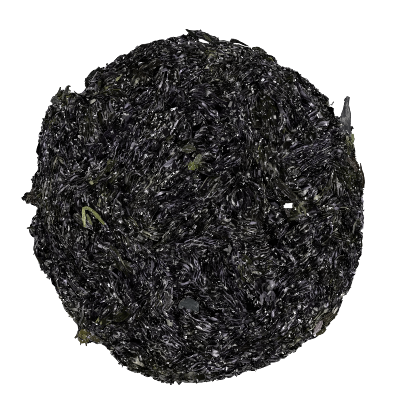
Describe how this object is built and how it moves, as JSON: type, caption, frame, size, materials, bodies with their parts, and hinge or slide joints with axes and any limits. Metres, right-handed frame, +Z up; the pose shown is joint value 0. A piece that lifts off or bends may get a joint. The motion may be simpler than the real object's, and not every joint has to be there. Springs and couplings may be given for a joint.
{
  "type": "dried laver cake",
  "caption": "Round flat cake of dried laver: thin dark seaweed fronds matted and pressed into a disc with a ragged edge.",
  "frame": {"origin": "under the middle of the cake's box, on the surface that it rests on", "axes": "+Z up through the cake's thickness, +X to the right and +Y to the far side as the cake is seen from above"},
  "size_m": [0.205, 0.213, 0.016],
  "materials": {
    "laver_dark": "near black dried seaweed with a satin gloss, faint purple and olive tints",
    "laver_olive": "thin clear olive green frond, satin"
  },
  "bodies": {
    "root": {"laver_cake": "laver_dark"}
  },
  "joints": []
}
